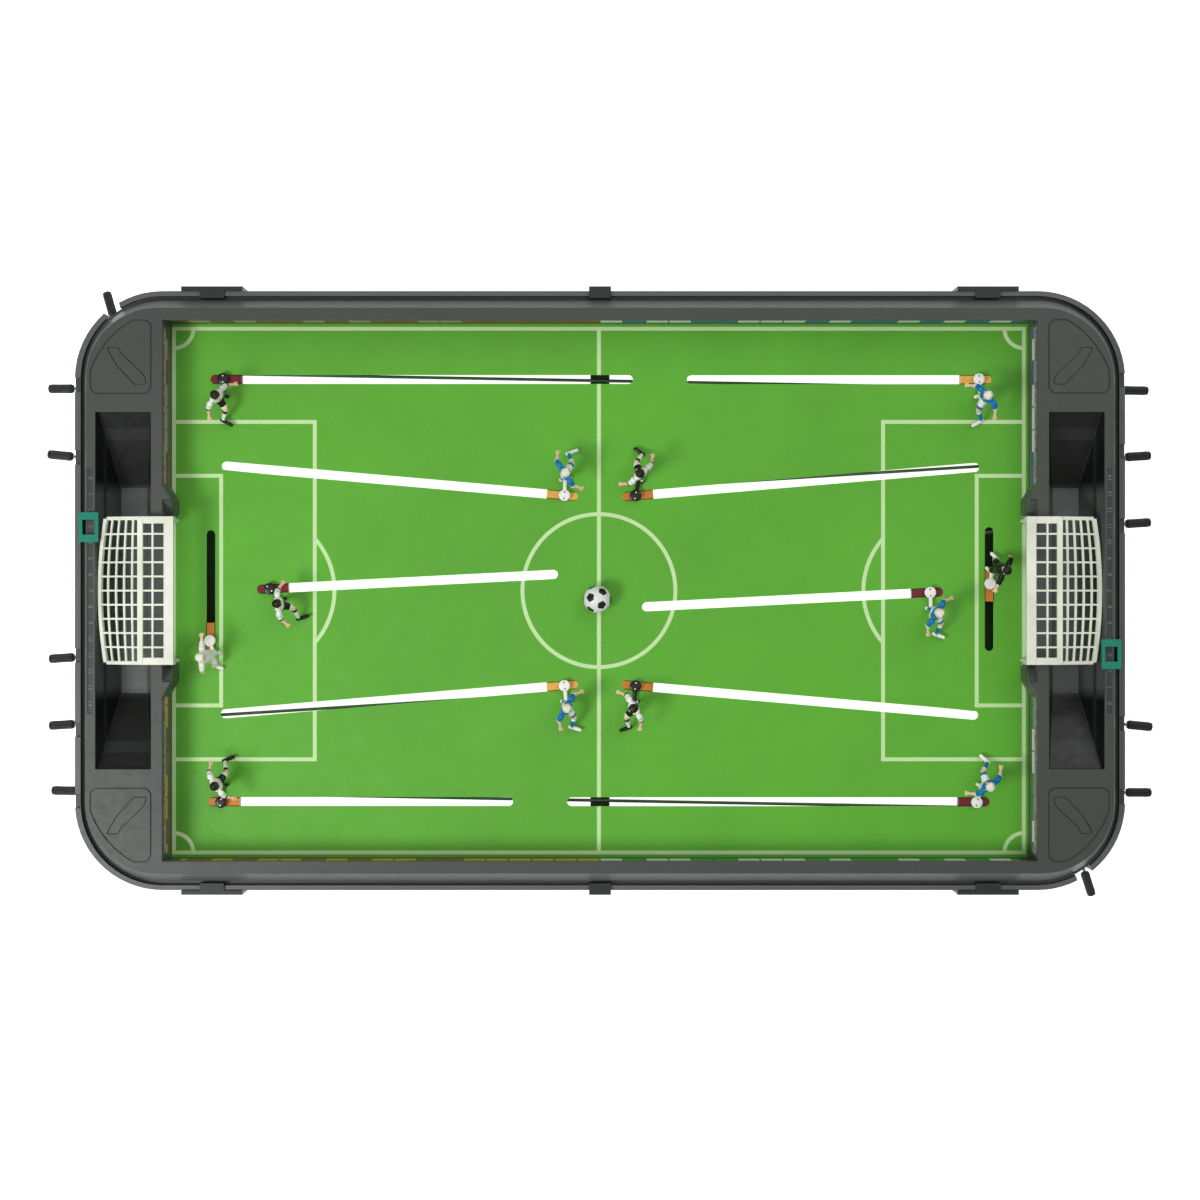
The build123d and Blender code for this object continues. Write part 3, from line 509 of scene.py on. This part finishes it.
def football():
    """A ball of twelve black five-sided panels and twenty white six-sided ones, with sunk seams."""
    low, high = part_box("ball")
    centre = (low + high) / 2
    radius = (high.z - low.z) / 2
    seed = bmesh.new()
    bmesh.ops.create_icosphere(seed, subdivisions=1, radius=1.0)
    fives = np.array([v.co.normalized() for v in seed.verts])
    sixes = np.array([f.calc_center_median().normalized() for f in seed.faces])
    seed.free()
    mesh = bmesh.new()
    bmesh.ops.create_icosphere(mesh, subdivisions=7, radius=1.0)
    tilt = Matrix.Rotation(0.5, 3, "X") @ Matrix.Rotation(0.35, 3, "Y")
    co = np.array([v.co for v in mesh.verts])

    def edge_gap(points):
        """How far each point is inside its own panel, and whether that panel is five-sided."""
        five = (points @ fives.T) / math.cos(math.radians(FIVE_HALF_ANGLE))
        six = (points @ sixes.T) / math.cos(math.radians(SIX_HALF_ANGLE))
        best = np.sort(np.hstack([five, six]), axis=1)
        return best[:, -1] - best[:, -2], five.max(1) > six.max(1)

    gap, _ = edge_gap(co)
    rise = np.clip(gap / SEAM_WIDTH, 0, 1) ** 0.5
    for vert, share in zip(mesh.verts, rise):
        vert.co = centre + (tilt @ vert.co) * radius * (1 - SEAM_DEPTH + SEAM_DEPTH * share)
    data = bpy.data.meshes.new("ball_look")
    mesh.to_mesh(data)
    face_spots = np.array([sum((Vector(co[v.index]) for v in face.verts), Vector()) / 3
                           for face in mesh.faces])
    mesh.free()
    face_spots /= np.linalg.norm(face_spots, axis=1)[:, None]
    _, black = edge_gap(face_spots)
    data.materials.append(moulded("ball_white_panel", (0.8, 0.8, 0.77), 0.3, grain=3000.0, vary=0.04))
    data.materials.append(moulded("ball_black_panel", (0.014, 0.014, 0.016), 0.28, grain=3000.0))
    data.polygons.foreach_set("material_index", black.astype(np.int32))
    data.polygons.foreach_set("use_smooth", [True] * len(data.polygons))
    piece = bpy.data.objects.new("ball_look", data)
    bpy.context.scene.collection.objects.link(piece)
    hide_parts("ball")
    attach(piece, "ball")


football()


# ---- Toy players -----------------------------------------------------------------------------

# Each toy is built once, in millimetres, with its pin on the Z axis, from capsules. A capsule is
# (region, start, end), and start and end are (x, y, z, radius).
REGIONS = ("shirt", "trim", "shorts", "shorts_trim", "skin", "sock", "sock_top", "boot", "sole", "hair",
           "dot", "steel", "eye")
# Middle of each toy's head, and the way it faces, in degrees
HEADS = {"outfield": ((22.3, -1.6, 113.8), 52.0), "keeper": ((14.2, -0.6, 113.8), 88.0)}
# Toys whose mould is mirrored
MIRRORED = ("wing_short", "defender_near")
SHORTS_SHARE = 0.62


def cap_part(region, *points):
    """A chain of capsules through (x, y, z, radius) points."""
    return [(region, points[k], points[k + 1]) for k in range(len(points) - 1)]


def face_frame(angle):
    turn = math.radians(angle)
    ahead = np.array((math.cos(turn), math.sin(turn), 0.0))
    across = np.array((-math.sin(turn), math.cos(turn), 0.0))
    return ahead, across


def head_parts(centre, angle):
    ahead, across = face_frame(angle)
    up = np.array((0, 0, 1.0))
    c = np.array(centre)

    def spot(forward, side, height, radius):
        return (*(c + ahead * forward + across * side + up * height), radius)

    parts = cap_part("skin", spot(0, 0, 0.9, 4.0), spot(0.8, 0, -1.7, 3.2))
    parts += cap_part("skin", spot(1.4, 0, -2.6, 2.2), spot(2.0, 0, -2.9, 1.9))
    parts += cap_part("skin", spot(3.6, 0, 0.2, 0.7), spot(4.0, 0, -0.6, 0.95))
    for side in (-1, 1):
        parts += cap_part("skin", spot(-0.2, 4.0 * side, 0.3, 0.9), spot(0.1, 3.9 * side, -1.0, 0.7))
        parts += cap_part("skin", spot(2.7, 1.6 * side, 1.5, 1.0), spot(3.0, 0.8 * side, 1.5, 0.9))
    parts += cap_part("hair", spot(-0.6, 0.0, 1.6, 4.15), spot(-1.3, 0, 0.4, 3.9))
    parts += cap_part("hair", spot(1.2, -1.5, 2.9, 2.3), spot(1.2, 1.5, 2.9, 2.3))
    parts += cap_part("hair", spot(-2.2, 0, -0.6, 3.1), spot(-2.0, 0, -2.2, 2.4))
    return parts


def torso_parts(hip, chest, angle):
    ahead, across = face_frame(angle)
    hip = np.array(hip)
    chest = np.array(chest)

    def spot(base, forward, side, height, radius):
        return (*(base + ahead * forward + across * side + np.array((0, 0, height))), radius)

    parts = []
    for side in (-1, 1):
        ribs = spot(chest, 0.3, 2.9 * side, -2.6, 4.0)
        parts += cap_part("shirt", spot(hip, 0, 1.5 * side, 3.2, 3.9), ribs)
        parts += cap_part("shirt", ribs, spot(chest, -0.2, 4.0 * side, 1.6, 2.9))
        seat = spot(hip, 0, 2.0 * side, -1.4, 4.4)
        parts += cap_part("shorts", spot(hip, 0, 1.7 * side, 1.6, 4.1), seat)
    parts += cap_part("shirt", spot(chest, -0.4, 0, 1.2, 3.6), spot(chest, -0.2, 0, 3.6, 2.5))
    parts += cap_part("trim", spot(chest, -0.1, 0, 4.0, 2.35), spot(chest, 0.0, 0, 4.5, 2.3))
    parts += cap_part("skin", spot(chest, 0.0, 0, 4.6, 1.9), spot(chest, 0.2, 0, 7.5, 1.9))
    return parts


def boot_parts(ankle, heel, toe):
    heel = np.array(heel)
    toe = np.array(toe)
    middle = heel * 0.4 + toe * 0.6
    parts = cap_part("boot", (*ankle, 1.9), (*(heel * 0.6 + middle * 0.4 + (0, 0, 1.2)), 1.8))
    parts += cap_part("boot", (*heel, 1.75), (*middle, 1.85), (*toe, 1.7))
    parts += cap_part("sole", (*(heel - (0, 0, 0.9)), 1.35), (*(toe - (0, 0, 0.9)), 1.4))
    return parts


def hand_parts(wrist, palm, thumb_side):
    """A palm with four short fingers and a thumb. thumb_side is 1 or -1."""
    wrist = np.array(wrist)
    palm = np.array(palm)
    ahead = palm - wrist
    ahead /= np.linalg.norm(ahead)
    side = np.cross(ahead, (0, 0, 1.0))
    side /= np.linalg.norm(side)
    parts = cap_part("skin", (*wrist, 1.25), (*palm, 1.45))
    for k in range(4):
        across = side * (k - 1.5) * 0.85
        root = palm + across * 0.9 + ahead * 0.6
        tip = root + ahead * 2.3 + across * 0.35
        parts += cap_part("skin", (*root, 0.62), (*tip, 0.52))
    thumb = -side * thumb_side
    parts += cap_part("skin", (*(palm + thumb), 0.7), (*(palm + thumb * 2.1 + ahead * 1.2), 0.55))
    return parts


def arm_parts(shoulder, elbow, wrist, palm, thumb_side):
    s, e, w = (np.array(p, float) for p in (shoulder, elbow, wrist))
    cuff = s * 0.18 + e * 0.82
    parts = cap_part("shirt", (*s, 2.95), (*(s * 0.4 + e * 0.6), 2.65), (*cuff, 2.6))
    parts += cap_part("trim", (*(s * 0.14 + e * 0.86), 2.62), (*(s * 0.06 + e * 0.94), 2.62))
    parts += cap_part("skin", (*cuff, 1.75), (*e, 1.7), (*(e * 0.6 + w * 0.4), 1.65), (*w, 1.2))
    return parts + hand_parts(wrist, palm, thumb_side)


def leg_parts(hip, knee, ankle):
    h, k, a = (np.array(p, float) for p in (hip, knee, ankle))

    def thigh(share, radius):
        return (*(h * (1 - share) + k * share), radius)

    def shin(share, radius):
        return (*(k * (1 - share) + a * share), radius)

    parts = cap_part("shorts", (*h, 3.9), thigh(SHORTS_SHARE, 3.45))
    parts += cap_part("shorts_trim", thigh(SHORTS_SHARE + 0.03, 3.45), thigh(SHORTS_SHARE + 0.06, 3.42))
    parts += cap_part("skin", (*h, 2.6), thigh(0.9, 2.3), (*k, 2.25), shin(0.14, 2.05))
    parts += cap_part("sock_top", shin(0.16, 2.3), shin(0.24, 2.32))
    parts += cap_part("sock", shin(0.28, 2.2), shin(0.38, 2.25), shin(0.75, 1.75), (*a, 1.6))
    return parts


def outfield_parts():
    parts = cap_part("boot", (3.5, 0.0, 72.3, 1.9), (13.5, -1.0, 71.5, 1.9))
    parts += boot_parts((14.6, -3.6, 73.6), (14.0, -4.9, 71.0), (16.3, 3.6, 70.9))
    parts += leg_parts((21.0, -3.0, 92.5), (17.5, 0.5, 82.5), (14.6, -3.6, 74.2))
    parts += leg_parts((23.8, -2.2, 93.0), (32.3, 3.0, 87.0), (37.5, 0.3, 76.5))
    parts += boot_parts((37.8, -0.2, 75.6), (38.2, -1.6, 73.5), (42.6, 7.0, 72.4))
    parts += torso_parts((22.4, -2.6, 93.0), (22.0, -2.8, 104.2), 49.0)
    parts += arm_parts((15.4, 2.8, 104.6), (12.0, 5.6, 99.0), (11.0, 11.2, 96.3), (10.8, 12.6, 95.6), 1)
    parts += arm_parts((28.8, -8.4, 104.2), (32.6, -11.2, 97.8), (38.6, -11.3, 94.2),
                       (39.8, -11.2, 93.6), -1)
    return parts + head_parts(*HEADS["outfield"])


def keeper_parts():
    parts = cap_part("boot", (3.0, 0.5, 72.3, 1.9), (10.5, 4.0, 71.5, 1.9))
    parts += boot_parts((10.5, 3.2, 73.6), (9.8, 1.6, 71.0), (11.3, 9.4, 70.9))
    parts += leg_parts((12.5, 3.0, 91.5), (10.5, 7.2, 81.5), (10.5, 3.4, 74.2))
    parts += leg_parts((15.8, 3.0, 91.5), (20.3, 8.2, 82.8), (23.4, 5.3, 75.0))
    parts += boot_parts((23.3, 4.9, 74.0), (23.0, 3.6, 71.7), (25.3, 11.6, 71.4))
    parts += torso_parts((14.0, 2.3, 92.0), (14.0, -0.8, 104.2), 84.0)
    parts += arm_parts((7.2, -1.2, 104.6), (1.6, -2.0, 101.4), (-3.4, -2.1, 102.0),
                       (-4.6, -2.1, 102.1), 1)
    parts += arm_parts((20.8, -1.2, 104.2), (25.8, -1.8, 99.4), (28.2, -1.8, 94.4),
                       (28.6, -1.8, 93.2), -1)
    return parts + head_parts(*HEADS["keeper"])


def capsule_mesh(start, end, sides=14):
    """A closed capsule between two (x, y, z, radius) points."""
    a, b = np.array(start[:3]), np.array(end[:3])
    ra, rb = start[3], end[3]
    if np.linalg.norm(b - a) < 1e-3:
        b = a + np.array((0, 0, 0.01))
    u, v, d = basis(b - a)
    rings = []
    for tilt in np.linspace(-1.35, 0.0, 5):
        rings.append((a + d * ra * math.sin(tilt), ra * math.cos(tilt)))
    for tilt in np.linspace(0.0, 1.35, 5):
        rings.append((b + d * rb * math.sin(tilt), rb * math.cos(tilt)))
    verts, faces = [], []
    for centre, radius in rings:
        for k in range(sides):
            turn = 2 * math.pi * k / sides
            verts.append(centre + (u * math.cos(turn) + v * math.sin(turn)) * radius)
    for ring in range(len(rings) - 1):
        for k in range(sides):
            p = ring * sides + k
            q = ring * sides + (k + 1) % sides
            faces.append((p, q, q + sides, p + sides))
    faces.append(tuple(reversed(range(sides))))
    faces.append(tuple(range((len(rings) - 1) * sides, len(rings) * sides)))
    return verts, faces


def nearest_part(points, parts):
    """The index of the capsule each point lies closest to."""
    best = np.full(len(points), 1e9)
    which = np.zeros(len(points), np.int32)
    for index, (_, start, end) in enumerate(parts):
        a, b = np.array(start[:3]), np.array(end[:3])
        ab = b - a
        t = np.clip(((points - a) @ ab) / max(ab @ ab, 1e-9), 0, 1)
        radius = start[3] + t * (end[3] - start[3])
        gap = np.linalg.norm(points - a - t[:, None] * ab, axis=1) - radius
        closer = gap < best
        best[closer] = gap[closer]
        which[closer] = index
    return which


VOXEL = 0.42
COLLAR_BOTTOM_Z = 70.3
COLLAR_TOP_Z = 74.3
SHAFT_RADIUS = 1.5
DOT_X = 2.9
# The upper body's shift grows from none to all of it over this height
SHIFT_FROM_Z = 77.0
SHIFT_OVER = 14.0
COLLAR_PROFILE = [(0.0, 4.2), (0.0, 4.8), (0.12, 5.15), (0.3, 5.3),
                  (0.75, 5.3), (0.92, 5.1), (1.0, 4.6), (1.0, 1.6)]
DOT_PROFILE = [(0, 0.75), (0.7, 0.7), (1.0, 0.4)]
DOT_HALF_HEIGHT = 0.3


def fused_skin(name, parts):
    """All the capsules made into one smoothed skin: its vertices, their normals and its faces."""
    obj = make_object(name, *merge([capsule_mesh(start, end) for _, start, end in parts]))
    remesh = obj.modifiers.new("fuse", "REMESH")
    remesh.mode = "VOXEL"
    remesh.voxel_size = VOXEL
    remesh.adaptivity = 0.0
    smooth = obj.modifiers.new("soften", "SMOOTH")
    smooth.factor = 0.5
    smooth.iterations = 2
    bpy.context.view_layer.update()
    fused = bpy.data.meshes.new_from_object(obj.evaluated_get(bpy.context.evaluated_depsgraph_get()))
    bpy.data.objects.remove(obj)
    co = np.zeros(len(fused.vertices) * 3)
    fused.vertices.foreach_get("co", co)
    normals = np.zeros(len(fused.vertices) * 3)
    fused.vertices.foreach_get("normal", normals)
    faces = [tuple(p.vertices) for p in fused.polygons]
    bpy.data.meshes.remove(fused)
    return co.reshape(-1, 3), normals.reshape(-1, 3), faces


def surface_lift(co, regions):
    """How far each point stands proud: strands of hair, and soft wrinkles in cloth."""
    lift = np.zeros(len(co))
    for k, (x, y, z) in enumerate(co):
        if regions[k] == "hair":
            lift[k] = 0.22 * noise.noise(Vector((x, y, z)) * 1.1) + 0.1 * math.sin(x * 5 + y * 3)
        elif regions[k] in ("shirt", "shorts"):
            lift[k] = 0.28 * noise.noise(Vector((x * 0.5, y * 0.5, z * 0.28)))
    return lift


def toy_mesh(name, parts, head, angle, shift):
    """The toy's skin, painted by the capsule each face belongs to, with its shaft, collar and eyes.

    shift moves the upper body over the feet, in millimetres.
    """
    names = [region for region, _, _ in parts]
    co, normals, faces = fused_skin(name, parts)
    co = co + normals * surface_lift(co, [names[w] for w in nearest_part(co, parts)])[:, None]
    centres = np.array([co[list(face)].mean(0) for face in faces])
    regions = [REGIONS.index(names[w]) for w in nearest_part(centres, parts)]
    upper = np.clip((co[:, 2] - SHIFT_FROM_Z) / SHIFT_OVER, 0, 1)
    co[:, :2] += np.outer(upper * upper * (3 - 2 * upper), shift)

    shaft_profile = [(0, 1.35), (0.004, SHAFT_RADIUS), (0.99, SHAFT_RADIUS), (1.0, 1.3)]
    extra = [
        ("boot", tube((0, 0, COLLAR_BOTTOM_Z), (0, 0, COLLAR_TOP_Z), COLLAR_PROFILE, 48)),
        ("steel", tube((0, 0, 0), (0, 0, COLLAR_TOP_Z - 0.7), shaft_profile, 24)),
    ]
    for x in (-DOT_X, DOT_X):
        low, high = COLLAR_TOP_Z - DOT_HALF_HEIGHT, COLLAR_TOP_Z + DOT_HALF_HEIGHT
        extra.append(("dot", tube((x, 0, low), (x, 0, high), DOT_PROFILE, 16)))
    ahead, across = face_frame(angle)
    for side in (-1, 1):
        spot = np.array(head) + (*shift, 0.0) + ahead * 3.55 + across * 1.55 * side + (0, 0, 0.75)
        extra.append(("eye", capsule_mesh((*spot, 0.42), (*(spot + ahead * 0.1), 0.4), 10)))
    all_verts, all_faces = merge([(co, faces)] + [piece for _, piece in extra])
    for region, (_, more_faces) in extra:
        regions.extend([REGIONS.index(region)] * len(more_faces))
    return np.array([tuple(v) for v in all_verts]), all_faces, np.array(regions, np.int32)


def paint(name, color, roughness=0.34, vary=0.05):
    return moulded("toy_" + name, color, roughness, grain=2600.0, depth=0.00003, coat=0.06, vary=vary)


black = paint("black", (0.007, 0.006, 0.006))
white = paint("white", (0.92, 0.92, 0.87))
blue = paint("blue", (0.004, 0.2, 0.52))
tan = paint("skin", (0.86, 0.57, 0.36))
cream = paint("cream", (0.85, 0.76, 0.58))
sole = paint("sole", (0.04, 0.035, 0.03))
dark_hair = paint("dark_hair", (0.008, 0.006, 0.005), 0.45)
eye = paint("eye", (0.02, 0.015, 0.015), 0.2)
fair_hair = paint("fair_hair", (0.86, 0.82, 0.68), 0.45)


def kit(**given):
    plain = {"skin": tan, "sole": sole, "steel": steel, "eye": eye}
    return [{**plain, **given}[region] for region in REGIONS]


white_kit = kit(shirt=white, trim=black, shorts=black, shorts_trim=white, sock=white, sock_top=black,
                boot=black, hair=dark_hair, dot=white)
blue_kit = kit(shirt=blue, trim=white, shorts=white, shorts_trim=blue, sock=blue, sock_top=white,
               boot=white, hair=fair_hair, dot=black)
keeper_white_kit = kit(shirt=white, trim=white, shorts=white, shorts_trim=white, sock=white,
                       sock_top=white, boot=white, hair=fair_hair, dot=cream)
keeper_black_kit = kit(shirt=black, trim=black, shorts=black, shorts_trim=black, sock=white,
                       sock_top=white, boot=white, hair=dark_hair, dot=white)
kits = {
    "toy_white": white_kit,
    "toy_blue": blue_kit,
    "toy_keeper_white": keeper_white_kit,
    "toy_keeper_black": keeper_black_kit,
}
moulds = {
    "outfield": toy_mesh("outfield", outfield_parts(), *HEADS["outfield"], (-3.4, 1.6)),
    "keeper": toy_mesh("keeper", keeper_parts(), *HEADS["keeper"], (0.0, 0.0)),
}
SHAFT_BELOW_Z = 60.0
GEAR_HALF_HEIGHT = 0.0038
GEAR_PROFILE = [(0, 0.0034), (0.08, 0.0039), (0.92, 0.0039), (1, 0.0034)]


def toy(node):
    """Puts a toy player where its CAD node stands, facing the same way."""
    joint = joints[node + "_spin"]
    pin = np.array(joint["pos_m"])
    co = np.array([v.co for v in nodes[node].data.vertices])
    top = co[:, 2].max()
    head = co[co[:, 2] > top - 0.002].mean(0) - pin
    kind = "keeper" if "keeper" in node else "outfield"
    mould_head = HEADS[kind][0]
    flip = -1.0 if node.replace("_figure", "").endswith(MIRRORED) else 1.0
    angle = math.atan2(head[1], head[0]) - math.atan2(flip * mould_head[1], mould_head[0])
    verts, faces, regions = moulds[kind]
    verts = verts.copy()
    verts[verts[:, 2] < SHAFT_BELOW_Z, 2] = co[:, 2].min() / MM
    verts[:, 1] *= flip
    if flip < 0:
        faces = [tuple(reversed(face)) for face in faces]
    cos, sin = math.cos(angle), math.sin(angle)
    turn = np.array(((cos, -sin, 0), (sin, cos, 0), (0, 0, 1)))
    verts = verts @ turn.T * MM
    verts[:, :2] += pin[:2]
    piece = make_object(node + "_look", verts, faces)
    half = np.array((0, 0, GEAR_HALF_HEIGHT))
    gear_verts, gear_faces = tube(pin - half, pin + half, GEAR_PROFILE, 60)
    for material in kits[node_slot[node]]:
        piece.data.materials.append(material)
    piece.data.polygons.foreach_set("material_index", regions)
    gear = make_object(node + "_gear", gear_verts, gear_faces)
    wear(gear, plastics["knob"])
    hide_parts(node)
    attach(piece, joint["child"])
    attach(gear, joint["child"])


for node in [n for n in nodes if n.endswith("_figure")]:
    toy(node)


# ---- Score numbers on the deck ---------------------------------------------------------------

RAIL_INSET = 0.0172
NUMBER_SINK = 0.00095
NUMBER_STEP = 0.0146
NUMBER_SIZE = 0.0056
NUMBERS = 15


def number_mesh(number):
    curve = bpy.data.curves.new("digit", "FONT")
    curve.body = str(number)
    curve.align_x = "CENTER"
    curve.align_y = "CENTER"
    curve.size = NUMBER_SIZE
    curve.extrude = 0.00018
    curve.bevel_depth = 0.00006
    holder = bpy.data.objects.new("digit", curve)
    bpy.context.scene.collection.objects.link(holder)
    bpy.context.view_layer.update()
    mesh = bpy.data.meshes.new_from_object(holder.evaluated_get(bpy.context.evaluated_depsgraph_get()))
    bpy.data.objects.remove(holder)
    return mesh


def score_numbers():
    """Raised plain numbers, nought to fourteen, along each end's score rail."""
    _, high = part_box("frame_shell")
    for side in (-1, 1):
        x = side * (high.x - RAIL_INSET)
        z = high.z - NUMBER_SINK
        turn = Matrix.Rotation(math.radians(90 * side), 4, "Z")
        for number in range(NUMBERS):
            y = (number - NUMBERS // 2) * NUMBER_STEP * side
            mesh = number_mesh(number)
            mesh.transform(Matrix.Translation((x, y, z)) @ turn)
            piece = bpy.data.objects.new(f"score_{'right' if side > 0 else 'left'}_{number}", mesh)
            bpy.context.scene.collection.objects.link(piece)
            wear(piece, number_highlight)
            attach(piece, "root")


# Painted highlight: the raised numbers are the frame's charcoal, painted 1.9 times lighter
number_highlight = moulded("number_moulding", shade(colors["frame_charcoal"], 1.9), 0.4)
score_numbers()


# ---- Floor, lights and camera ----------------------------------------------------------------

FLOOR_HALF = 3.5
FLOOR_Z = -0.0002
floor_corners = [(x * FLOOR_HALF, y * FLOOR_HALF, FLOOR_Z)
                 for x, y in ((-1, -1), (1, -1), (1, 1), (-1, 1))]
floor = make_object("floor", floor_corners, [(0, 1, 2, 3)])
floor_paint = Tree("pale_floor").finish(Base_Color=(0.8, 0.8, 0.8), Roughness=0.9,
                                        Emission_Color=(1.0, 1.0, 1.0), Emission_Strength=1.0)
wear(floor, floor_paint)


def area_light(name, place, aim, size, power):
    data = bpy.data.lights.new(name, "AREA")
    data.shape = "RECTANGLE"
    data.size, data.size_y = size
    data.energy = power
    lamp = bpy.data.objects.new(name, data)
    lamp.location = place
    lamp.rotation_euler = (Vector(aim) - Vector(place)).to_track_quat("-Z", "Y").to_euler()
    bpy.context.scene.collection.objects.link(lamp)


area_light("key", (-1.3, -0.75, 1.9), (0, 0, 0.05), (0.7, 0.6), 27.0)
area_light("fill", (1.2, 1.3, 1.9), (0, 0, 0.05), (1.8, 1.4), 13.0)
area_light("top", (0.0, 0.0, 2.6), (0, 0, 0), (2.6, 2.0), 13.0)

world = bpy.data.worlds.new("studio")
bpy.context.scene.world = world
world.use_nodes = True
world.node_tree.nodes["Background"].inputs["Color"].default_value = (1.0, 1.0, 1.0, 1.0)
world.node_tree.nodes["Background"].inputs["Strength"].default_value = 0.3

CAMERA_HEIGHT = 2.068
IMAGE_SIDE = 1200
camera_data = bpy.data.cameras.new("camera")
camera_data.sensor_width = 36.0
camera_data.lens = 64.8
camera_data.shift_y = -9.4 / IMAGE_SIDE
camera = bpy.data.objects.new("camera", camera_data)
camera.location = (0.0, 0.0, CAMERA_HEIGHT)
camera.rotation_euler = (0.0, 0.0, 0.0)
bpy.context.scene.collection.objects.link(camera)
bpy.context.scene.camera = camera
bpy.context.scene.view_settings.view_transform = "Standard"
